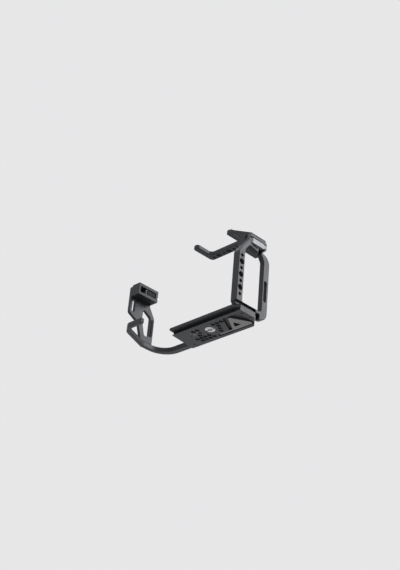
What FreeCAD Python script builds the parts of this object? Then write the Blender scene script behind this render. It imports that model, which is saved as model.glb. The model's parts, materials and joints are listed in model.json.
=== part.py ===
import FreeCAD, Part
import math
import os

# Camera cage in millimetres. The origin is on the axis of the fixing screw, in the plane of the rail's foot.
# +Z is up, the lens looks along -Y, and +X is the left hand of the person behind the camera.

# Base plate, seen from above
left_face = 60.0  # outer face of the left side
base_right = -44.0
end_slant = 6.0  # the rear corner of the right end lies this much further out
base_front = -21.0
base_rear = 27.0
base_top = 7.0
slab_bottom = 3.5  # underside of the plate beside the rail
end_front = -15.0  # the flat left end of the base
end_rear = 8.0
end_depth = 8.0
front_cut = 6.0  # bevelled front left corner
rear_cut = 19.0  # bevelled rear left corner, along X

# Dovetail rail under the base
rail_width = 38.0
rail_centre = 3.0
rail_flank = 2.5  # height and reach of the 45 degree flank

# Fixing screw, 1/4-20
thread_r = 3.175
neck_r = 2.6
neck_length = 4.8
thread_length = 5.4
head_r = 6.25
head_height = 3.2
head_lift = 0.2  # the head stays this far above the rail's foot
head_gap = 0.35  # radial room in its recess
bore_gap = 0.35  # radial room of the thread in the plate
washer_thick = 0.4
washer_r = 5.4
spin_gap = 0.06  # running clearance on the neck
slot_width = 1.6
slot_depth = 1.3
hex_key = 4.0

# Threaded holes and locating holes. The base has a steel insert, the rest are tapped in the aluminium
insert_wall = 0.45
mouth_sink = 0.4  # how far a countersunk mouth stands round its hole
pin_hole_r = 1.85
pin_mouth_r = 2.15
hole_pitch = 8.0  # from a threaded hole to the locating hole beside it
insert_sink = 0.5

# Left side frame, seen from the left
post_front = -22.3
post_width = 9.3
post_thick = 8.5
post_foot = 10.5  # the outer layer of the post ends here
foot_step = 3.0  # and below that the post is set back by this much
side_thick = 6.0
rear_face = 26.5
rear_width = 9.2
lean_bottom = 72.0  # the post leans back above this height
frame_top = 101.0
sill_top = 11.0  # bottom bar under the window
heel_bottom = 1.2
heel_front = 14.5
heel_radius = 11.0
shoulder_z = 84.5
window_top = 83.0
lowest_hole = 18.7

# Strap slots
slot_open = 4.6
left_slot_low = 25.0
left_slot_high = 51.0
slot_rim = 2.8

# Lug clamp nests
nest_depth = 17.0
nest_front = -6.5
nest_rear = 17.5
nest_wall = 3.2
nest_front_wall = 2.5
nest_floor = 89.7
nest_roof = 97.5
shelf_thick = 3.2
shelf_rib = 0.8
clamp_height = 7.0
clamp_reach = 16.0
clamp_gap = 0.3
key_width = 3.0
key_gap = 0.2
key_reach = 9.7
lug_slot = 4.8
nose_reach = 9.0
clamp_pad_thick = 0.7

# Clamp screw, M3 socket head
clamp_screw_r = 1.5
clamp_screw_in = 12.0  # from the clamp's outer face
clamp_head_r = 2.75
clamp_head_height = 3.0
clamp_screw_grip = 5.0  # length of thread in the clamp
clamp_key = 2.5
tap_depth = 7.0

# Right side
right_face = -98.0
arm_thick = 4.5
right_shift_y = -33.0  # the right nest lies this far in front of the left one
right_shift_z = -31.5
arm_front = -42.0
arm_slot_low = 37.0
arm_slot_high = 53.0

# Grip guard
guard_bottom = 0.5
guard_top = 7.0
guard_rear = 22.0
strut_width = 8.0
guard_width = 5.0
guard_front = -59.0
guard_end = -50.0
guard_gap = 0.3
tab_length = 10.0
tab_width = 9.0
tab_thick = 2.5

# Top plate
plate_top = 114.0
plate_thick = 5.0
arm_inner = 30.0  # the sloping arm meets the flat plate here
arm_edge = 1.2  # thickness of the arm above the left nest
hump_left = 26.0  # clear width for the finder
hump_right = -20.0
hump_rear = 11.0
leg_width = 8.0
plate_rear = 21.0
plate_front = -12.0

# Flat driver kept under the base
driver_thick = 2.4
driver_lift = 0.2
blade_width = 2.4
blade_thick = 1.4
pocket_depth = 2.8
pocket_gap = 1.0
magnet_r = 2.0
magnet_thick = 1.5

# Honeycomb pockets under the base
cell_flats = 5.3
cell_rib = 0.9
cell_depth = 1.2

# Small fasteners and soft pads
m3_r = 1.5
m25_r = 1.25
pad_thick = 1.0
side_pad_thick = 0.8
pin_r = 2.2
pin_height = 3.2
edge_bevel = 0.6


def axis_vector(axis):
    return {"x": FreeCAD.Vector(1, 0, 0), "y": FreeCAD.Vector(0, 1, 0), "z": FreeCAD.Vector(0, 0, 1)}[axis]


def place(axis, u, v, level):
    """A point with plane coordinates u, v at a level along the axis."""
    if axis == "x":
        return FreeCAD.Vector(level, u, v)
    if axis == "y":
        return FreeCAD.Vector(u, level, v)
    return FreeCAD.Vector(u, v, level)


def corner_reach(points, i):
    """Angle at corner i, and how far along its sides its radius starts."""
    count = len(points)
    here = FreeCAD.Vector(points[i][0], points[i][1], 0)
    before = FreeCAD.Vector(points[i - 1][0], points[i - 1][1], 0)
    after = FreeCAD.Vector(points[(i + 1) % count][0], points[(i + 1) % count][1], 0)
    radius = points[i][2] if len(points[i]) > 2 else 0.0
    half = (before - here).getAngle(after - here) / 2
    return here, (before - here).normalize(), (after - here).normalize(), half, radius / math.tan(half)


def outline(points, axis, level):
    """A closed wire. Each point is (u, v) or (u, v, corner radius), and a radius is limited by its two sides."""
    count = len(points)
    corners = [corner_reach(points, i) for i in range(count)]
    shares = []
    for i in range(count):
        side = corners[i][0].distanceToPoint(corners[(i + 1) % count][0])
        wanted = corners[i][4] + corners[(i + 1) % count][4]
        shares.append(min(1.0, 0.98 * side / wanted) if wanted > 0 else 1.0)
    runs = []
    for i, (here, back, ahead, half, reach) in enumerate(corners):
        reach = reach * min(shares[i - 1], shares[i])
        if reach == 0.0:
            runs.append([here])
            continue
        radius = reach * math.tan(half)
        middle = (back + ahead).normalize() * (radius / math.sin(half) - radius)
        runs.append([here + back * reach, here + middle, here + ahead * reach])
    edges = []
    for i, run in enumerate(runs):
        spots = [place(axis, p.x, p.y, level) for p in run]
        if len(spots) == 3:
            edges.append(Part.Arc(*spots).toShape())
        following = runs[(i + 1) % count][0]
        start = spots[-1]
        end = place(axis, following.x, following.y, level)
        if start.distanceToPoint(end) > 1e-4:
            edges.append(Part.LineSegment(start, end).toShape())
    return Part.Wire(edges)


def prism(points, axis, low, high):
    face = Part.Face(outline(points, axis, low))
    return face.extrude(axis_vector(axis) * (high - low))


def block(x0, x1, y0, y1, z0, z1):
    return Part.makeBox(x1 - x0, y1 - y0, z1 - z0, FreeCAD.Vector(x0, y0, z0))


def rod(radius, axis, u, v, low, high):
    return Part.makeCylinder(radius, high - low, place(axis, u, v, low), axis_vector(axis))


def cone(r_low, r_high, axis, u, v, low, high):
    return Part.makeCone(r_low, r_high, high - low, place(axis, u, v, low), axis_vector(axis))


def hexagon(flats, axis, u, v, low, high, turn=0.0):
    corner = flats / math.sqrt(3)
    angles = [math.radians(60 * i + turn) for i in range(6)]
    return prism([(u + corner * math.cos(a), v + corner * math.sin(a)) for a in angles], axis, low, high)


def edges_at(shape, axis, level):
    """Edges that lie in the plane at this level along the axis."""
    index = "xyz".index(axis)
    found = []
    for edge in shape.Edges:
        box = edge.BoundBox
        low = (box.XMin, box.YMin, box.ZMin)[index]
        high = (box.XMax, box.YMax, box.ZMax)[index]
        if abs(low - level) < 1e-3 and abs(high - level) < 1e-3:
            found.append(edge)
    return found


def bevelled(points, axis, low, high, size=edge_bevel):
    """A prism with both end faces bevelled."""
    body = prism(points, axis, low, high)
    return body.makeChamfer(size, edges_at(body, axis, low) + edges_at(body, axis, high))


def mirrored_x(shape, about):
    return shape.mirror(FreeCAD.Vector(about, 0, 0), FreeCAD.Vector(1, 0, 0))


def moved(shape, x, y, z):
    copy = shape.copy()
    copy.translate(FreeCAD.Vector(x, y, z))
    return copy


# Places worked out from the sizes above
post_rear = post_front + post_width
post_centre = post_front + post_width / 2
rear_inner = rear_face - rear_width
slot_rear = rear_face - slot_rim
slot_front = slot_rear - slot_open
side_inner = left_face - side_thick
post_inner = left_face - post_thick
rail_front = rail_centre - rail_width / 2
rail_rear = rail_centre + rail_width / 2
nest_inner = left_face - nest_depth
nest_back = nest_rear + nest_wall
clamp_bottom = nest_floor + clamp_gap
clamp_middle = clamp_bottom + clamp_height / 2
clamp_rear = nest_rear - clamp_gap
head_top = head_lift + head_height
recess_top = head_top + washer_thick + 0.1
insert_r = thread_r + insert_wall
mouth_r = insert_r + mouth_sink
post_holes = [lowest_hole + hole_pitch * i for i in range(7)]
plate_bottom = plate_top - plate_thick
bar_centre = (hump_rear + plate_rear) / 2
plate_left = hump_left + leg_width
plate_right = hump_right - leg_width
top_holes = [plate_right + 8.0 + hole_pitch * i for i in range(7)]
base_insert_at = (-25.0, -1.0)
base_pin_at = (-14.5, -1.0)
frame_screw_x = left_face - 3.4
frame_screw_ys = (-9.0, 3.0)
guard_screw_x = base_right + tab_length / 2
guard_screw_ys = (guard_rear - 1.0 - tab_width / 2 - 2.4, guard_rear - 1.0 - tab_width / 2 + 2.4)
arm_screw_x = right_face + 2.4
arm_screw_ys = (-16.0, -8.0)
top_screw_x = left_face - 9.0
top_screw_ys = (2.0, 12.0)
magnet_spots = [(41.0, 5.0), (25.6, 12.6)]
pin_y = -9.8


def threaded_hole(radius, axis, u, v, low, high, mouth_low, mouth_high):
    """The cutter for a threaded hole and the countersunk mouths at either end."""
    cutter = rod(radius, axis, u, v, low, high)
    if mouth_low:
        cutter = cutter.fuse(cone(radius + mouth_sink, radius, axis, u, v, low, low + mouth_sink))
    if mouth_high:
        cutter = cutter.fuse(cone(radius, radius + mouth_sink, axis, u, v, high - mouth_sink, high))
    return cutter


def locating_hole(axis, u, v, low, high, mouth_at_high=True):
    cutter = rod(pin_hole_r, axis, u, v, low, high)
    sink = pin_mouth_r - pin_hole_r
    if mouth_at_high:
        return cutter.fuse(cone(pin_hole_r, pin_mouth_r, axis, u, v, high - sink, high))
    return cutter.fuse(cone(pin_mouth_r, pin_hole_r, axis, u, v, low, low + sink))


def insert(axis, u, v, low, high):
    return rod(insert_r, axis, u, v, low, high).cut(rod(thread_r, axis, u, v, low, high))


def countersunk_screw(radius, axis, u, v, head_at, tip_at):
    """A countersunk screw with a hex socket, its head face at head_at."""
    way = 1 if tip_at > head_at else -1
    head = radius * 0.9
    low, high = sorted((head_at, head_at + way * head))
    radii = (radius * 1.9, radius) if way > 0 else (radius, radius * 1.9)
    body = cone(radii[0], radii[1], axis, u, v, low, high)
    low, high = sorted((head_at + way * head, tip_at))
    body = body.fuse(rod(radius - 0.03, axis, u, v, low, high))
    low, high = sorted((head_at, head_at + way * head * 0.8))
    return body.cut(hexagon(radius * 1.3, axis, u, v, low, high))


def countersunk_hole(radius, axis, u, v, head_at, tip_at, face_at):
    """The hole for such a screw, open from face_at."""
    way = 1 if tip_at > head_at else -1
    low, high = sorted((face_at, tip_at))
    cutter = rod(radius + 0.02, axis, u, v, low, high)
    head = radius * 0.9
    low, high = sorted((head_at, head_at + way * head))
    radii = (radius * 1.9 + 0.05, radius + 0.02)
    if way < 0:
        radii = (radii[1], radii[0])
    cutter = cutter.fuse(cone(radii[0], radii[1], axis, u, v, low, high))
    if abs(face_at - head_at) > 1e-6:
        low, high = sorted((face_at, head_at))
        cutter = cutter.fuse(rod(radius * 1.9 + 0.05, axis, u, v, low, high))
    return cutter


def base_plan():
    return [
        (base_right, base_front),
        (left_face - front_cut, base_front),
        (left_face, end_front),
        (left_face, end_rear),
        (left_face - rear_cut, base_rear, 4.0),
        (base_right - end_slant, base_rear),
    ]


def right_end(y):
    """Where the slanted right end of the base lies at this y."""
    return base_right - end_slant * (y - base_front) / (base_rear - base_front)


def pocket_plan():
    """The recess that holds the driver, with room for a fingertip beside it."""
    front = rail_front + rail_flank + 2.2
    rear = rail_rear - rail_flank - 1.7
    right = driver_points()[3][0] - pocket_gap
    blade = driver_points()[4][1] - pocket_gap
    return [
        (right, blade, 0.5),
        (driver_points()[1][0] - 2.5 * pocket_gap, blade, 1.0),
        (30.0, front, 1.0),
        (left_face - 9.5, front, 1.0),
        (left_face - 7.2, front + 6.0, 1.0),
        (left_face - 7.2, rear - 4.0, 1.0),
        (left_face - 9.5, rear, 1.0),
        (right, rear, 0.5),
    ]


def driver_points():
    """Corners of the driver's head, then the tip of its blade."""
    rear = rail_rear - rail_flank - 1.7 - pocket_gap
    return [
        (35.5, rear - 26.5),
        (19.5, rear),
        (left_face - 8.4, rear),
        (-0.5, rear),
        (-0.5, rear - blade_width),
    ]


def honeycomb():
    """Hexagonal pockets that lighten the foot, clear of the holes and of the driver."""
    pitch = cell_flats + cell_rib
    row = pitch * math.sqrt(3) / 2
    reach = cell_flats / math.sqrt(3) + cell_rib / 2
    tip, right, left, end, end_low = driver_points()
    holes = [
        (0.0, 0.0, head_r + head_gap),
        (base_insert_at[0], base_insert_at[1], mouth_r),
        (base_pin_at[0], base_pin_at[1], pin_mouth_r),
    ]
    rows = int((rail_width / 2 - rail_flank) / row) + 1
    columns = int((left_face - base_right) / pitch)
    cells = []
    for j in range(-rows, rows + 1):
        for i in range(-columns, columns + 1):
            x = pitch * (i + 0.5 * (j % 2))
            y = rail_centre + row * j
            if any(math.hypot(x - u, y - v) < radius + reach for u, v, radius in holes):
                continue
            if abs(y - rail_centre) > rail_width / 2 - rail_flank - reach:
                continue
            if x < base_right + tab_length + m25_r * 1.9 + reach:
                continue
            slope = (right[0] - tip[0]) / (right[1] - tip[1])
            if x > tip[0] + slope * (y - tip[1]) - 6.0 * pocket_gap - reach:
                continue
            if x > end[0] - pocket_gap - reach and y > end_low[1] - pocket_gap - reach:
                continue
            cells.append(hexagon(cell_flats, "z", x, y, -1.0, cell_depth, 90.0))
    return cells


def base_plate():
    plan = base_plan()
    slab = prism(plan, "z", slab_bottom, base_top)
    slab = slab.makeChamfer(edge_bevel, edges_at(slab, "z", base_top) + edges_at(slab, "z", slab_bottom))
    profile = [
        (rail_front, 0.0),
        (rail_rear, 0.0),
        (rail_rear - rail_flank, rail_flank),
        (rail_rear - rail_flank, slab_bottom + 1.0),
        (rail_front + rail_flank, slab_bottom + 1.0),
        (rail_front + rail_flank, rail_flank),
    ]
    foot = prism(profile, "x", base_right - end_slant, left_face)
    foot = foot.common(prism(plan, "z", -1.0, base_top))
    end = block(left_face - end_depth, left_face, end_front, end_rear, 0.0, base_top - edge_bevel)
    body = slab.fuse([foot, end]).removeSplitter()
    cutters = [
        rod(thread_r + bore_gap, "z", 0, 0, -1, base_top + 1),
        rod(head_r + head_gap, "z", 0, 0, -1, recess_top),
        threaded_hole(insert_r, "z", base_insert_at[0], base_insert_at[1], 0.0, base_top + 1, True, False),
        locating_hole("z", base_pin_at[0], base_pin_at[1], 0.0, base_top - 2.0, False),
        prism(pocket_plan(), "z", -1.0, pocket_depth),
        rod(pin_r, "z", 0, pin_y, base_top - 4.0, base_top + 1),
        block(
            base_right - end_slant - 1, base_right + tab_length + 0.1,
            guard_rear - 1.0 - tab_width - 0.1, guard_rear - 0.9,
            base_top - tab_thick, base_top + 1,
        ),
    ]
    cutters += [rod(magnet_r, "z", x, y, pocket_depth - 1, pocket_depth + magnet_thick) for x, y in magnet_spots]
    cutters += [countersunk_hole(m25_r, "z", frame_screw_x, y, 0.3, base_top + 1, -1) for y in frame_screw_ys]
    cutters += [countersunk_hole(m25_r, "z", guard_screw_x, y, 0.3, base_top + 1, -1) for y in guard_screw_ys]
    return body.cut(cutters + honeycomb())


def side_outline():
    """The left side, seen along X: post, lug nest, rear post, heel and bottom bar."""
    shoulder = nest_back - 6.2
    return [
        (post_front + 2.5, base_top),
        (post_front, base_top + 3.0),
        (post_front, lean_bottom, 8.0),
        (nest_front - nest_front_wall, frame_top - 10.0, 4.0),
        (nest_front, frame_top),
        (nest_back - 2.5, frame_top),
        (nest_back, frame_top - 2.5),
        (nest_back, shoulder_z + 6.2),
        (shoulder, shoulder_z),
        (rear_face, shoulder_z - 2.0, 12.0),
        (rear_face, heel_bottom, heel_radius),
        (heel_front, heel_bottom),
        (heel_front, base_top),
    ]


def window_outline():
    return [
        (post_rear, sill_top, 1.5),
        (post_rear, lean_bottom + 4.0, 5.0),
        (post_rear + 6.5, window_top + 2.2, 3.0),
        (nest_front + 13.3, window_top - 0.6),
        (nest_front + 18.5, window_top - 0.6),
        (rear_inner, window_top - 8.0, 7.0),
        (rear_inner, sill_top, 3.0),
    ]


def nest_outline():
    """The nest's mouth, with the slit that lets a strap lug through to the window."""
    return [
        (nest_front, nest_floor, 0.5),
        (nest_front, nest_roof, 0.5),
        (nest_rear, nest_roof, 0.5),
        (nest_rear, nest_floor - 0.5),
        (nest_front + 20.0, nest_floor - 4.4),
        (nest_front + 18.5, window_top - 1.6),
        (nest_front + 13.6, window_top - 1.6),
        (nest_front + 13.6, nest_floor - 2.4),
        (nest_front + 12.2, nest_floor - 2.4),
        (nest_front + 11.8, nest_floor - 4.8),
        (nest_front + 2.0, nest_floor - 2.6, 1.0),
    ]


def nest_shell(outer, inward):
    """The inner part of a lug nest: roof, shelf and walls. inward is -1 on the left side and 1 on the right."""
    low, high = sorted((outer, outer + inward * nest_depth))
    body = block(
        low, high,
        nest_front - nest_front_wall, nest_back,
        nest_floor - shelf_thick, frame_top,
    )
    mouth = block(low - 1, high + 1, nest_front, nest_rear, nest_floor, nest_roof)
    return body.cut(mouth)


def shelf_ribs(outer, inward):
    """Fine grooves across the shelf's outer edge."""
    face = outer + inward * side_thick
    grooves = []
    count = 11
    for i in range(count):
        y = nest_front + 1.2 + i * (nest_rear - nest_front - 2.4) / (count - 1)
        low, high = sorted((face - inward * 0.5, face + inward * shelf_rib))
        grooves.append(block(low, high, y - 0.4, y + 0.4, nest_floor - shelf_thick - 1, nest_floor + 1))
    return grooves


def screw_slot(outer, inward):
    """The slit in the nest's rear wall, open to the side, that the clamp's key and screw run in."""
    width = key_width + 2 * key_gap
    far = outer + inward * clamp_screw_in
    low, high = sorted((outer - inward, far))
    slit = block(low, high, nest_rear - 1, nest_back + 1, clamp_middle - width / 2, clamp_middle + width / 2)
    return slit.fuse(rod(width / 2, "y", far, clamp_middle, nest_rear - 1, nest_back + 1))


def left_frame():
    side = prism(side_outline(), "x", side_inner, left_face)
    side = side.cut(prism(window_outline(), "x", side_inner - 1, left_face + 1))
    side = side.makeChamfer(edge_bevel * 0.8, edges_at(side, "x", left_face))
    post = prism(
        [
            (post_front + 2.5, base_top),
            (post_front, base_top + 3.0),
            (post_front, lean_bottom, 8.0),
            (nest_front - nest_front_wall, frame_top - 10.0, 4.0),
            (nest_front - nest_front_wall, frame_top - 12.0 - shelf_thick),
            (post_rear, lean_bottom + 4.0, 5.0),
            (post_rear, base_top),
        ],
        "x", post_inner, side_inner + 0.5,
    )
    body = side.fuse(post)
    cutters = [
        block(left_face - foot_step, left_face + 1, post_front - 1, heel_front - 6.0, base_top - 1, post_foot),
        prism(
            [
                (slot_front, left_slot_low, 1.5),
                (slot_front, left_slot_high, 1.5),
                (slot_rear, left_slot_high, 1.5),
                (slot_rear, left_slot_low, 1.5),
            ],
            "x", side_inner - 1, left_face + 1,
        ),
    ]
    cutters.append(prism(nest_outline(), "x", side_inner - 1, left_face + 1))
    body = body.cut(cutters).removeSplitter()
    shell = nest_shell(left_face - side_thick, -1)
    inner = shell.common(block(nest_inner, side_inner, -100, 100, 0, 200))
    body = body.fuse(inner).removeSplitter()
    holes = []
    for i, z in enumerate(post_holes):
        if i % 2:
            holes.append(threaded_hole(thread_r, "x", post_centre, z, post_inner, left_face, True, True))
        else:
            holes.append(locating_hole("x", post_centre, z, post_inner - 1, left_face))
    holes += shelf_ribs(left_face, -1)
    holes.append(screw_slot(left_face, -1))
    holes += [rod(m25_r, "z", frame_screw_x, y, base_top - 1, sill_top - 1.0) for y in frame_screw_ys]
    holes += [rod(m3_r, "z", top_screw_x, y, nest_roof + 0.6, frame_top + 1) for y in top_screw_ys]
    return body.cut(holes)


def top_plan():
    return [
        (plate_left, plate_front, 2.0),
        (plate_left, plate_rear),
        (plate_right, plate_rear, 5.0),
        (plate_right, plate_front, 3.5),
        (hump_right, plate_front, 3.5),
        (hump_right, hump_rear, 4.0),
        (hump_left, hump_rear, 4.0),
        (hump_left, plate_front, 2.0),
    ]


def top_arm():
    """The sloping arm from the left nest up to the flat plate."""
    profile = [
        (left_face, frame_top),
        (left_face, frame_top + arm_edge),
        (arm_inner, plate_top),
        (hump_left + 2.0, plate_top),
        (hump_left + 2.0, plate_bottom),
        (plate_left - 2.0, plate_bottom),
        (nest_inner, frame_top),
    ]
    slab = prism(profile, "y", plate_front, nest_back)
    plan = [
        (left_face - 0.1, nest_front + 1.5),
        (plate_left, plate_front),
        (hump_left, plate_front),
        (hump_left, nest_back),
        (left_face - 0.1, nest_back - 2.5),
    ]
    return slab.common(prism(plan, "z", frame_top - 1, plate_top + 1))


def top_plate():
    flat = bevelled(top_plan(), "z", plate_bottom, plate_top)
    body = flat.fuse(top_arm()).removeSplitter()
    relief = prism(
        [
            (plate_left + 1.5, -3.0, 1.5),
            (left_face - nest_depth, -0.5, 1.5),
            (left_face - nest_depth, 14.5, 1.5),
            (plate_left + 1.5, 14.5, 1.5),
        ],
        "z", frame_top - 1, plate_top + 1,
    )
    cutters = [relief]
    for i, x in enumerate(top_holes):
        if i % 2:
            cutters.append(threaded_hole(thread_r, "z", x, bar_centre, plate_bottom, plate_top, False, True))
        else:
            cutters.append(locating_hole("z", x, bar_centre, plate_bottom - 1, plate_top))
    for y in top_screw_ys:
        cutters.append(countersunk_hole(m3_r, "z", top_screw_x, y, top_screw_head(), frame_top - 1, plate_top + 1))
    return body.cut(cutters)


def top_screw_head():
    """Height of the top screws' head faces, just under the slope at their lower edge."""
    slope = (plate_top - frame_top - arm_edge) / (left_face - arm_inner)
    return frame_top + arm_edge + slope * (left_face - top_screw_x - m3_r * 1.9) - 0.2


def guard_plan():
    inner_right = right_face + guard_width
    return [
        (right_end(guard_rear) - guard_gap, guard_rear),
        (right_face, guard_rear, 25.0),
        (right_face, -17.0, 22.0),
        (right_face + 14.5, -51.0, 14.0),
        (right_face + 25.0, guard_front, 10.0),
        (guard_end, guard_front, 1.0),
        (guard_end, guard_front + guard_width, 1.0),
        (right_face + 27.0, guard_front + guard_width, 8.0),
        (right_face + 18.5, -48.0, 10.0),
        (inner_right, -16.0, 18.0),
        (inner_right, guard_rear - strut_width, 18.0),
        (right_end(guard_rear - strut_width) - guard_gap, guard_rear - strut_width),
    ]


def grip_guard():
    body = bevelled(guard_plan(), "z", guard_bottom, guard_top, 0.8)
    tab_rear = guard_rear - 1.0
    tab = block(
        base_right - end_slant - 1.0, base_right + tab_length,
        tab_rear - tab_width, tab_rear,
        base_top - tab_thick, base_top,
    )
    tab = tab.common(prism(base_plan(), "z", -1.0, base_top + 1))
    bridge = block(
        base_right - end_slant - 2.0, right_end(tab_rear) + 1.5,
        guard_rear - strut_width, tab_rear,
        base_top - tab_thick, base_top - 0.8,
    )
    tab = tab.fuse(bridge)
    body = body.fuse(tab).removeSplitter()
    cutters = [rod(m25_r, "z", guard_screw_x, y, 0, base_top - 0.4) for y in guard_screw_ys]
    for y in arm_screw_ys:
        cutters.append(countersunk_hole(m25_r, "z", arm_screw_x, y, guard_bottom + 0.3, guard_top + 1, -1))
    return body.cut(cutters)


def arm_outline():
    nest_top = frame_top + right_shift_z
    back = nest_back + right_shift_y
    return [
        (-3.5, guard_top),
        (-20.5, guard_top),
        (-27.0, 27.0, 12.0),
        (arm_front, 35.0, 4.0),
        (arm_front, nest_top, 3.0),
        (back, nest_top, 1.0),
        (back, nest_floor - shelf_thick + right_shift_z - 2.0, 6.0),
        (-3.5, 40.0, 12.0),
    ]


def right_arm():
    inner = right_face + arm_thick
    body = prism(arm_outline(), "x", right_face, inner)
    middle = (slot_rim + slot_open / 2)
    slot_y = arm_front + middle
    y_low = slot_y - slot_open / 2
    y_high = slot_y + slot_open / 2
    mouth = block(
        right_face - 1, inner + 1,
        nest_front + right_shift_y, nest_rear + right_shift_y,
        nest_floor + right_shift_z, nest_roof + right_shift_z,
    )
    cutters = [
        mouth,
        prism(
            [
                (y_low, arm_slot_low, 1.5), (y_low, arm_slot_high, 1.5),
                (y_high, arm_slot_high, 1.5), (y_high, arm_slot_low, 1.5),
            ],
            "x", right_face - 1, inner + 1,
        ),
        prism(
            [(-9.0, 14.0, 3.0), (-16.5, 14.0, 3.0), (-22.0, 33.0, 3.0), (-22.0, 48.0, 3.0), (-9.0, 40.0, 3.0)],
            "x", right_face - 1, inner + 1,
        ),
    ]
    body = body.cut(cutters).removeSplitter()
    body = body.makeChamfer(edge_bevel * 0.8, edges_at(body, "x", right_face))
    shell = moved(nest_shell(right_face, 1), 0, right_shift_y, right_shift_z)
    shell = shell.common(block(inner, right_face + nest_depth, -200, 200, 0, 200))
    body = body.fuse(shell).removeSplitter()
    slit = moved(screw_slot(right_face, 1), 0, right_shift_y, right_shift_z)
    screws = [rod(m25_r, "z", arm_screw_x, y, guard_top - 1, guard_top + 5.5) for y in arm_screw_ys]
    return body.cut([slit] + screws)


def clamp(outer, inward):
    """A lug clamp: a block with a nose round the camera's strap lug, and a key on its rear face."""

    def at(depth, y, radius=0.0):
        return (outer + inward * depth, y, radius)

    nose = nest_front + 0.5
    gap_low = nose + 3.8
    gap_high = gap_low + lug_slot
    points = [
        at(0.0, clamp_rear, 0.6),
        at(0.0, nose + 4.0, 2.0),
        at(2.4, nose, 1.5),
        at(nose_reach + 0.6, nose, 1.6),
        at(nose_reach + 1.4, gap_low, 1.0),
        at(nose_reach - 3.0, gap_low, 0.8),
        at(nose_reach - 3.0, gap_high, 0.8),
        at(clamp_reach, gap_high, 1.0),
        at(clamp_reach, clamp_rear, 0.6),
    ]
    if inward > 0:
        points.reverse()
    body = bevelled(points, "z", clamp_bottom, clamp_bottom + clamp_height, 0.5)
    low, high = sorted((outer, outer + inward * key_reach))
    key = block(low, high, clamp_rear - 1.0, nest_back, clamp_middle - key_width / 2, clamp_middle + key_width / 2)
    hole = rod(
        clamp_screw_r + spin_gap, "y", outer + inward * clamp_screw_in, clamp_middle,
        clamp_rear - tap_depth, clamp_rear + 1,
    )
    return body.fuse(key).removeSplitter().cut(hole)


def clamp_screw(outer, inward):
    x = outer + inward * clamp_screw_in
    seat = nest_back + 0.1
    body = rod(clamp_screw_r, "y", x, clamp_middle, clamp_rear - clamp_screw_grip, seat)
    head = rod(clamp_head_r, "y", x, clamp_middle, seat, seat + clamp_head_height)
    head = head.makeChamfer(0.4, edges_at(head, "y", seat + clamp_head_height))
    socket = hexagon(clamp_key, "y", x, clamp_middle, seat + clamp_head_height - 1.7, seat + clamp_head_height)
    return body.fuse(head).cut(socket)


def clamp_pad(outer, inward):
    low, high = sorted((outer + inward * clamp_reach, outer + inward * (clamp_reach + clamp_pad_thick)))
    front = nest_front + 0.5 + 3.8 + lug_slot + 1.5
    return block(low, high, front, clamp_rear - 1.0, clamp_bottom + 1.0, clamp_bottom + clamp_height - 1.0)


def on_right(shape):
    return moved(shape, 0, right_shift_y, right_shift_z)


def fixing_screw():
    head = rod(head_r, "z", 0, 0, head_lift, head_top)
    head = head.makeChamfer(0.4, edges_at(head, "z", head_lift) + edges_at(head, "z", head_top))
    neck_top = head_top + neck_length
    neck = rod(neck_r, "z", 0, 0, head_top, neck_top)
    tip = neck_top + thread_length
    thread = rod(thread_r, "z", 0, 0, neck_top, tip)
    thread = thread.makeChamfer(0.5, edges_at(thread, "z", tip) + edges_at(thread, "z", neck_top))
    slot = block(-head_r - 1, head_r + 1, -slot_width / 2, slot_width / 2, head_lift - 1, head_lift + slot_depth)
    key = hexagon(hex_key, "z", 0, 0, head_lift - 1, head_lift + 2.2)
    return head.fuse([neck, thread]).cut([slot, key])


def fixing_washer():
    ring = rod(washer_r, "z", 0, 0, head_top, head_top + washer_thick)
    return ring.cut(rod(neck_r + spin_gap, "z", 0, 0, head_top - 1, head_top + washer_thick + 1))


def flat_driver():
    """A triangular head to grip, with a hole through it, and a flat blade along one side."""
    tip, left, right, end, end_low = driver_points()
    low = driver_lift
    high = driver_lift + driver_thick
    head = bevelled(
        [(tip[0], tip[1], 2.6), (right[0], right[1], 2.6), (left[0], left[1], 1.0)],
        "z", low, high, 0.35,
    )
    hole = prism([(33.4, tip[1] + 11.5, 0.8), (38.0, right[1] - 6.2, 0.8), (27.6, right[1] - 6.2, 0.8)], "z", low - 1, high + 1)
    blade = prism(
        [
            (end[0], end[1]),
            (end_low[0], end_low[1]),
            (left[0] + 7.0, end_low[1]),
            (left[0] + 7.0, end[1]),
        ],
        "z", low + (driver_thick - blade_thick) / 2, high - (driver_thick - blade_thick) / 2,
    )
    edge = 0.35
    flats = [
        prism([(end[0] - 1, low), (end[0] - 1, low + driver_thick / 2 - edge), (end[0] + 5.0, low)], "y", -50, 50),
        prism([(end[0] - 1, high), (end[0] + 5.0, high), (end[0] - 1, high - driver_thick / 2 + edge)], "y", -50, 50),
    ]
    return head.cut(hole).fuse(blade).removeSplitter().cut(flats)


def tool_magnets():
    return Part.makeCompound(
        [rod(magnet_r, "z", x, y, pocket_depth, pocket_depth + magnet_thick) for x, y in magnet_spots]
    )


def base_insert():
    return insert("z", base_insert_at[0], base_insert_at[1], insert_sink, base_top)


def base_pad():
    plan = [
        (base_right + tab_length + 2.0, base_front + 5.0, 3.0),
        (post_inner - 3.0, base_front + 5.0, 3.0),
        (post_inner - 3.0, base_rear - 14.0, 3.0),
        (left_face - rear_cut - 4.0, base_rear - 5.0, 3.0),
        (base_right + tab_length + 2.0, base_rear - 5.0, 3.0),
    ]
    pad = prism(plan, "z", base_top, base_top + pad_thick)
    holes = [rod(6.0, "z", 0, 0, base_top - 1, base_top + 3), rod(pin_r + 0.3, "z", 0, pin_y, base_top - 1, base_top + 3)]
    holes.append(rod(mouth_r + 1.0, "z", base_insert_at[0], base_insert_at[1], base_top - 1, base_top + 3))
    return pad.cut(holes)


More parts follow.
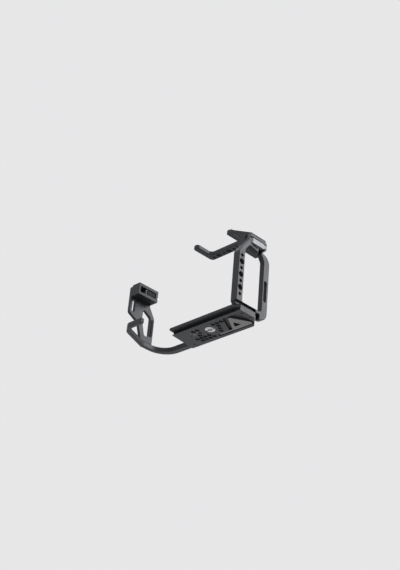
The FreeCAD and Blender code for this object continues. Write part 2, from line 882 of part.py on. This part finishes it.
def arm_pad():
    inner = right_face + arm_thick
    plan = [(-5.0, 16.0, 1.0), (-7.8, 16.0, 1.0), (-7.8, 38.0, 1.0), (-5.0, 38.0, 1.0)]
    return prism(plan, "x", inner, inner + side_pad_thick)


def locating_pin():
    body = rod(pin_r, "z", 0, pin_y, base_top - 4.0, base_top + pin_height)
    return body.makeChamfer(0.5, edges_at(body, "z", base_top + pin_height))


def frame_screws():
    return Part.makeCompound(
        [countersunk_screw(m25_r, "z", frame_screw_x, y, 0.3, sill_top - 1.5) for y in frame_screw_ys]
    )


def guard_screws():
    return Part.makeCompound(
        [countersunk_screw(m25_r, "z", guard_screw_x, y, 0.3, base_top - 0.6) for y in guard_screw_ys]
    )


def arm_screws():
    return Part.makeCompound(
        [countersunk_screw(m25_r, "z", arm_screw_x, y, guard_bottom + 0.3, guard_top + 5.0) for y in arm_screw_ys]
    )


def top_screws():
    return Part.makeCompound(
        [countersunk_screw(m3_r, "z", top_screw_x, y, top_screw_head(), nest_roof + 0.8) for y in top_screw_ys]
    )


NODES = {
    "base_plate": base_plate,
    "left_frame": left_frame,
    "top_plate": top_plate,
    "grip_guard": grip_guard,
    "right_arm": right_arm,
    "left_lug_clamp": lambda: clamp(left_face, -1),
    "left_clamp_screw": lambda: clamp_screw(left_face, -1),
    "left_clamp_pad": lambda: clamp_pad(left_face, -1),
    "right_lug_clamp": lambda: on_right(clamp(right_face, 1)),
    "right_clamp_screw": lambda: on_right(clamp_screw(right_face, 1)),
    "right_clamp_pad": lambda: on_right(clamp_pad(right_face, 1)),
    "fixing_screw": fixing_screw,
    "fixing_washer": fixing_washer,
    "flat_driver": flat_driver,
    "tool_magnets": tool_magnets,
    "base_insert": base_insert,
    "base_pad": base_pad,
    "arm_pad": arm_pad,
    "locating_pin": locating_pin,
    "frame_screws": frame_screws,
    "guard_screws": guard_screws,
    "arm_screws": arm_screws,
    "top_screws": top_screws,
}


os.makedirs("parts", exist_ok=True)
for name, build in NODES.items():
    shape = build()
    solids = shape.Solids
    print(name, "solids", len(solids), "valid", shape.isValid(), "volume", round(shape.Volume, 1))
    shape.exportStep("parts/" + name + ".step")
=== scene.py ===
import json
import math

import bpy
from mathutils import Matrix, Vector


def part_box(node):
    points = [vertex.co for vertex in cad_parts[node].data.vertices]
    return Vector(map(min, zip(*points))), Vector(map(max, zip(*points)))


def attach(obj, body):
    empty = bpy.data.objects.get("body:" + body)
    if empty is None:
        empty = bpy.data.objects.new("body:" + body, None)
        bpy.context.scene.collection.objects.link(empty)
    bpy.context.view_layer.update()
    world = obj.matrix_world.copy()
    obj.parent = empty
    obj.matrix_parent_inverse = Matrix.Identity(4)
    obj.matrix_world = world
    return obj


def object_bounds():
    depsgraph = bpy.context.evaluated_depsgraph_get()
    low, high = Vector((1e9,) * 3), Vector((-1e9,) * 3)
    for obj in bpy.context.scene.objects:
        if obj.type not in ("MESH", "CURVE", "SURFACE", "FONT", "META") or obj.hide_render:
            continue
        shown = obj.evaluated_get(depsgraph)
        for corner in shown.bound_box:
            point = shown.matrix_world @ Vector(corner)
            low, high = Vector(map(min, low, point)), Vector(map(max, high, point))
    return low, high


MM = 0.001

# The photograph's camera, solved from the cage's hole rows and edges
CAMERA_PLACE = (0.7259, -0.6881, -0.4986)
CAMERA_RIGHT = (0.7060, 0.7038, 0.0789)
CAMERA_UP = (0.2945, -0.3931, 0.8711)
LENS_MM = 63.6
SENSOR_MM = 36.0
CLIP_NEAR = 0.01
CLIP_FAR = 50.0

# The floor lies a hair below the part, and fades into the pale room between two distances
FLOOR_GAP = 0.0002
FLOOR_SIZE = 60.0
UNDER_GAP = 0.012
PALE = (0.80, 0.80, 0.81)
FLOOR_PALE = (0.56, 0.56, 0.57)
FLOOR_ROUGH = 0.9
FADE_NEAR = 0.25
FADE_FAR = 1.1

# Name, place, size and power of each lamp, and the point that they all face
LAMPS = (
    ("left_key", (0.95, 0.80, 0.62), 0.9, 13.0),
    ("top_soft", (-0.1, -0.2, 1.3), 1.4, 8.0),
    ("under_fill", (0.1, -0.7, -0.9), 1.2, 3.0),
    ("back_rim", (-0.8, 0.9, 0.5), 0.9, 5.0),
)
LAMP_TARGET = (-0.02, -0.02, 0.05)
GLOW_COLOUR = (0.92, 0.94, 1.0, 1.0)
GLOW_STRENGTH = 0.40

# Worn edges and grain of each kind of surface
WORN_EDGE = 0.22 * MM
STEEL_EDGE = WORN_EDGE * 0.6
EDGE_SAMPLES = 6
GRAIN_DEPTH = 0.02 * MM
BLASTED_GRAIN = 2600.0
BLASTED_BUMP = 0.10
STEEL_GRAIN = 1800.0
STEEL_BUMP = 0.12
RUBBER_GRAIN = 1500.0
RUBBER_BUMP = 0.25
RUBBER_ROUGH = 0.86
CLOUD_SCALE = 55.0
STREAK_SCALE = 900.0

# A thread's section, in parts of its pitch, its sunk root and the ends that taper over half a turn
THREAD_DEPTH = 0.35 * MM
THREAD_STEPS = 24
ROOT_HALF = 0.40
CREST_HALF = 0.08
ROOT_SUNK = 0.02 * MM
TAPER_STEPS = THREAD_STEPS / 2
THINNEST = 0.02

# Sizes that repeat the solids'
CAMERA_THREAD_R = 3.175 * MM
CAMERA_THREAD_PITCH = 1.27 * MM
SMALL_THREAD_R = 1.5 * MM
SMALL_THREAD_PITCH = 0.5 * MM
SMALL_THREAD_DEPTH = 0.05 * MM
SMALL_THREAD_SUNK = 0.02 * MM
THREADED_LENGTH = 4.6 * MM
SHAFT_TIP = 0.5 * MM
HOLE_STEP = 16.0 * MM
POST_HOLE_MIDDLE = (-17.65 * MM, 42.7 * MM)
POST_INNER = 51.5 * MM
POST_THICK = 8.5 * MM
TOP_HOLE_MIDDLE = (4.0 * MM, 16.0 * MM)
TOP_UNDERSIDE = 109.0 * MM
TOP_THICK = 5.0 * MM


def new_nodes(name):
    """A new material with its nodes, its links and its shader."""
    material = bpy.data.materials.new(name)
    material.use_nodes = True
    tree = material.node_tree
    return material, tree.nodes, tree.links, tree.nodes["Principled BSDF"]


def noise(nodes, links, scale, detail=3.0):
    place = nodes.new("ShaderNodeTexCoord")
    texture = nodes.new("ShaderNodeTexNoise")
    texture.inputs["Scale"].default_value = scale
    texture.inputs["Detail"].default_value = detail
    links.new(place.outputs["Object"], texture.inputs["Vector"])
    return texture


def mapped(nodes, links, source, low, high):
    node = nodes.new("ShaderNodeMapRange")
    node.inputs["To Min"].default_value = low
    node.inputs["To Max"].default_value = high
    links.new(source, node.inputs["Value"])
    return node.outputs["Result"]


def soft_edges(nodes, links, shader, radius, grain_scale, strength):
    """Small rounds on the edges, with fine grain on top."""
    edge = nodes.new("ShaderNodeBevel")
    edge.samples = EDGE_SAMPLES
    edge.inputs["Radius"].default_value = radius
    bump = nodes.new("ShaderNodeBump")
    bump.inputs["Strength"].default_value = strength
    bump.inputs["Distance"].default_value = GRAIN_DEPTH
    texture = noise(nodes, links, grain_scale, 2.0)
    links.new(texture.outputs["Fac"], bump.inputs["Height"])
    links.new(edge.outputs["Normal"], bump.inputs["Normal"])
    links.new(bump.outputs["Normal"], shader.inputs["Normal"])


def anodised(name, colour, rough, metal):
    """Bead-blasted and anodised metal, slightly uneven in its sheen."""
    material, nodes, links, shader = new_nodes(name)
    shader.inputs["Base Color"].default_value = (*colour, 1.0)
    shader.inputs["Metallic"].default_value = metal
    cloud = noise(nodes, links, CLOUD_SCALE)
    sheen = mapped(nodes, links, cloud.outputs["Fac"], rough - 0.05, rough + 0.07)
    links.new(sheen, shader.inputs["Roughness"])
    soft_edges(nodes, links, shader, WORN_EDGE, BLASTED_GRAIN, BLASTED_BUMP)
    return material


def brushed(name, colour, rough):
    """Turned or brushed steel."""
    material, nodes, links, shader = new_nodes(name)
    shader.inputs["Base Color"].default_value = (*colour, 1.0)
    shader.inputs["Metallic"].default_value = 1.0
    streak = noise(nodes, links, STREAK_SCALE, 1.0)
    sheen = mapped(nodes, links, streak.outputs["Fac"], rough - 0.07, rough + 0.09)
    links.new(sheen, shader.inputs["Roughness"])
    soft_edges(nodes, links, shader, STEEL_EDGE, STEEL_GRAIN, STEEL_BUMP)
    return material


def rubber(name, colour):
    material, nodes, links, shader = new_nodes(name)
    shader.inputs["Base Color"].default_value = (*colour, 1.0)
    shader.inputs["Roughness"].default_value = RUBBER_ROUGH
    soft_edges(nodes, links, shader, WORN_EDGE, RUBBER_GRAIN, RUBBER_BUMP)
    return material


def math_node(nodes, links, operation, first, second):
    node = nodes.new("ShaderNodeMath")
    node.operation = operation
    for i, value in enumerate((first, second)):
        if isinstance(value, float):
            node.inputs[i].default_value = value
        else:
            links.new(value, node.inputs[i])
    return node.outputs["Value"]


def shown_rays(nodes, links, path):
    """One on the rays that show the room to the eye, straight or through metal and glass."""
    shown = path.outputs["Is Camera Ray"]
    for kind in ("Is Glossy Ray", "Is Transmission Ray"):
        shown = math_node(nodes, links, "MAXIMUM", shown, path.outputs[kind])
    return shown


def pale_floor():
    """Pale from above and clear from below, so that the low camera sees the part's underside.

    It also lets light up to the underside: shadow rays pass it, and so do rays that start just over it.
    Away from the part it fades into the pale room, so that no horizon shows.
    """
    material, nodes, links, shader = new_nodes("pale_floor")
    shader.inputs["Base Color"].default_value = (*FLOOR_PALE, 1.0)
    shader.inputs["Roughness"].default_value = FLOOR_ROUGH
    shader.inputs["Specular IOR Level"].default_value = 0.0
    side = nodes.new("ShaderNodeNewGeometry")
    clear = nodes.new("ShaderNodeBsdfTransparent")
    path = nodes.new("ShaderNodeLightPath")
    near = math_node(nodes, links, "LESS_THAN", path.outputs["Ray Length"], UNDER_GAP)
    unseen = math_node(nodes, links, "SUBTRACT", near, path.outputs["Is Camera Ray"])
    lets_light = math_node(nodes, links, "MAXIMUM", path.outputs["Is Shadow Ray"], unseen)
    gone = math_node(nodes, links, "MAXIMUM", side.outputs["Backfacing"], lets_light)
    reach = nodes.new("ShaderNodeVectorMath")
    reach.operation = "LENGTH"
    links.new(side.outputs["Position"], reach.inputs[0])
    away = nodes.new("ShaderNodeMapRange")
    away.interpolation_type = "SMOOTHSTEP"
    away.inputs["From Min"].default_value = FADE_NEAR
    away.inputs["From Max"].default_value = FADE_FAR
    links.new(reach.outputs["Value"], away.inputs["Value"])
    room = nodes.new("ShaderNodeEmission")
    room.inputs["Color"].default_value = (*PALE, 1.0)
    fade = nodes.new("ShaderNodeMixShader")
    fading = math_node(nodes, links, "MULTIPLY", away.outputs["Result"], shown_rays(nodes, links, path))
    links.new(fading, fade.inputs["Fac"])
    links.new(shader.outputs["BSDF"], fade.inputs[1])
    links.new(room.outputs["Emission"], fade.inputs[2])
    mix = nodes.new("ShaderNodeMixShader")
    links.new(gone, mix.inputs["Fac"])
    links.new(fade.outputs["Shader"], mix.inputs[1])
    links.new(clear.outputs["BSDF"], mix.inputs[2])
    links.new(mix.outputs["Shader"], nodes["Material Output"].inputs["Surface"])
    return material


def make_materials():
    return {
        "cage_aluminium": anodised("black_anodised", (0.030, 0.031, 0.035), 0.44, 0.55),
        # Painted light: the clamps' lighter grey stands in for the brighter light they catch; they are the
        # same black anodise as the cage
        "clamp_aluminium": anodised("clamp_grey_painted_light", (0.20, 0.205, 0.22), 0.50, 0.6),
        "screw_steel": brushed("bright_steel", (0.50, 0.50, 0.52), 0.27),
        "tool_steel": brushed("warm_steel", (0.19, 0.18, 0.178), 0.40),
        "insert_steel": brushed("insert_steel", (0.26, 0.26, 0.27), 0.38),
        "dark_screws": brushed("dark_screws", (0.07, 0.07, 0.08), 0.36),
        "magnet_plating": brushed("magnet_plating", (0.62, 0.60, 0.57), 0.18),
        "washer_plastic": rubber("washer_plastic", (0.03, 0.03, 0.03)),
        "pad_rubber": rubber("pad_rubber", (0.018, 0.018, 0.020)),
    }


def paint_nodes(frame, materials):
    for part in frame["record"]["subparts"]:
        node = frame["nodes"][part["node"]]
        for slot in node.material_slots:
            slot.material = materials[part["material_slot"]]


def mesh_object(name, points, faces, material):
    mesh = bpy.data.meshes.new(name)
    mesh.from_pydata(points, [], faces)
    mesh.update()
    mesh.materials.append(material)
    obj = bpy.data.objects.new(name, mesh)
    bpy.context.scene.collection.objects.link(obj)
    return obj


def thread(name, start, along, length, radius, pitch, depth, material, inside=False):
    """A helical ridge round a shaft, or inside a hole, tapering at both ends."""
    along = Vector(along).normalized()
    across = along.orthogonal().normalized()
    third = along.cross(across)
    start = Vector(start)
    turns = length / pitch - 1.0
    count = int(turns * THREAD_STEPS)
    way = -1.0 if inside else 1.0
    points = []
    faces = []
    for i in range(count + 1):
        angle = 2 * math.pi * i / THREAD_STEPS
        taper = min(1.0, i / TAPER_STEPS, (count - i) / TAPER_STEPS)
        out = across * math.cos(angle) + third * math.sin(angle)
        centre = start + along * (pitch * (0.5 + i / THREAD_STEPS))
        root = radius - way * ROOT_SUNK
        crest = radius + way * depth * max(taper, THINNEST)
        for half, reach in ((-ROOT_HALF, root), (-CREST_HALF, crest), (CREST_HALF, crest), (ROOT_HALF, root)):
            points.append(tuple(centre + along * pitch * half + out * reach))
    for i in range(count):
        a = 4 * i
        b = a + 4
        for j in range(4):
            k = (j + 1) % 4
            faces.append((a + j, a + k, b + k, b + j))
    faces.append((0, 3, 2, 1))
    last = 4 * count
    faces.append((last, last + 1, last + 2, last + 3))
    obj = mesh_object(name, points, faces, material)
    for face in obj.data.polygons:
        face.use_smooth = True
    return obj


def carry(obj, body):
    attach(obj, body)
    return obj


def screw_threads(materials):
    """Cut threads on the screws, standing a hair proud of the plain shafts."""
    shaft_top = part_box("fixing_screw")[1][2] - SHAFT_TIP
    piece = thread(
        "fixing_screw_thread", (0, 0, shaft_top - THREADED_LENGTH), (0, 0, 1), THREADED_LENGTH,
        CAMERA_THREAD_R, CAMERA_THREAD_PITCH, THREAD_DEPTH * 0.5, materials["screw_steel"],
    )
    carry(piece, "fixing_spin")
    for side in ("left", "right"):
        low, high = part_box(side + "_clamp_screw")
        middle = ((low[0] + high[0]) / 2, low[1], (low[2] + high[2]) / 2)
        piece = thread(
            side + "_clamp_screw_thread", middle, (0, 1, 0), THREADED_LENGTH,
            SMALL_THREAD_R - SMALL_THREAD_SUNK, SMALL_THREAD_PITCH, SMALL_THREAD_DEPTH,
            materials["screw_steel"],
        )
        carry(piece, side + "_screw")


def hole_threads(materials):
    """Threads inside the tapped holes of the post and the top, and inside the base's steel insert."""
    for i in (-1, 0, 1):
        across, up = POST_HOLE_MIDDLE
        piece = thread(
            "post_thread_" + str(i + 1), (POST_INNER, across, up + i * HOLE_STEP), (1, 0, 0), POST_THICK,
            CAMERA_THREAD_R, CAMERA_THREAD_PITCH, THREAD_DEPTH, materials["cage_aluminium"], inside=True,
        )
        carry(piece, "cage")
        x, y = TOP_HOLE_MIDDLE
        piece = thread(
            "top_thread_" + str(i + 1), (x + i * HOLE_STEP, y, TOP_UNDERSIDE), (0, 0, 1), TOP_THICK,
            CAMERA_THREAD_R, CAMERA_THREAD_PITCH, THREAD_DEPTH, materials["cage_aluminium"], inside=True,
        )
        carry(piece, "cage")
    low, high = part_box("base_insert")
    piece = thread(
        "base_thread", ((low[0] + high[0]) / 2, (low[1] + high[1]) / 2, low[2]), (0, 0, 1), high[2] - low[2],
        CAMERA_THREAD_R, CAMERA_THREAD_PITCH, THREAD_DEPTH, materials["insert_steel"], inside=True,
    )
    carry(piece, "cage")


def make_floor():
    half = FLOOR_SIZE / 2
    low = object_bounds()[0][2] - FLOOR_GAP
    corners = [(-half, -half, low), (half, -half, low), (half, half, low), (-half, half, low)]
    floor = mesh_object("floor", corners, [(0, 1, 2, 3)], pale_floor())


def area_light(name, place, size, power):
    data = bpy.data.lights.new(name, "AREA")
    data.shape = "DISK"
    data.size = size
    data.energy = power
    obj = bpy.data.objects.new(name, data)
    obj.location = place
    obj.rotation_euler = (Vector(LAMP_TARGET) - Vector(place)).to_track_quat("-Z", "Y").to_euler()
    bpy.context.scene.collection.objects.link(obj)


def make_world():
    world = bpy.data.worlds.new("pale_room")
    bpy.context.scene.world = world
    world.use_nodes = True
    nodes = world.node_tree.nodes
    links = world.node_tree.links
    glow = nodes["Background"]
    glow.inputs["Color"].default_value = GLOW_COLOUR
    glow.inputs["Strength"].default_value = GLOW_STRENGTH
    seen = nodes.new("ShaderNodeBackground")
    seen.inputs["Color"].default_value = (*PALE, 1.0)
    seen.inputs["Strength"].default_value = 1.0
    path = nodes.new("ShaderNodeLightPath")
    mix = nodes.new("ShaderNodeMixShader")
    links.new(shown_rays(nodes, links, path), mix.inputs["Fac"])
    links.new(glow.outputs["Background"], mix.inputs[1])
    links.new(seen.outputs["Background"], mix.inputs[2])
    links.new(mix.outputs["Shader"], nodes["World Output"].inputs["Surface"])


def make_camera():
    data = bpy.data.cameras.new("photo_camera")
    data.sensor_width = SENSOR_MM
    data.sensor_fit = "AUTO"
    data.lens = LENS_MM
    data.clip_start = CLIP_NEAR
    data.clip_end = CLIP_FAR
    camera = bpy.data.objects.new("photo_camera", data)
    right = Vector(CAMERA_RIGHT).normalized()
    up = (Vector(CAMERA_UP) - right * right.dot(Vector(CAMERA_UP))).normalized()
    back = right.cross(up)
    turn = Matrix((right, up, back)).transposed().to_4x4()
    camera.matrix_world = Matrix.Translation(Vector(CAMERA_PLACE)) @ turn
    bpy.context.scene.collection.objects.link(camera)
    bpy.context.scene.camera = camera


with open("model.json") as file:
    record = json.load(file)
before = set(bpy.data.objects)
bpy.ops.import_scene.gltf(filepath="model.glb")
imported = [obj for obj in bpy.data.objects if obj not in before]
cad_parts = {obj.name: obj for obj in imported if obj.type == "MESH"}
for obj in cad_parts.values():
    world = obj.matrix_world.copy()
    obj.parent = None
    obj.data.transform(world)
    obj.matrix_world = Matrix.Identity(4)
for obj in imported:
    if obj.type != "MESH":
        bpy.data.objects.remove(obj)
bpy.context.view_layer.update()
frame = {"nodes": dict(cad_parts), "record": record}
materials = make_materials()
paint_nodes(frame, materials)
screw_threads(materials)
hole_threads(materials)
make_floor()
make_world()
for lamp in LAMPS:
    area_light(*lamp)
make_camera()
bpy.context.scene.view_settings.view_transform = "Standard"
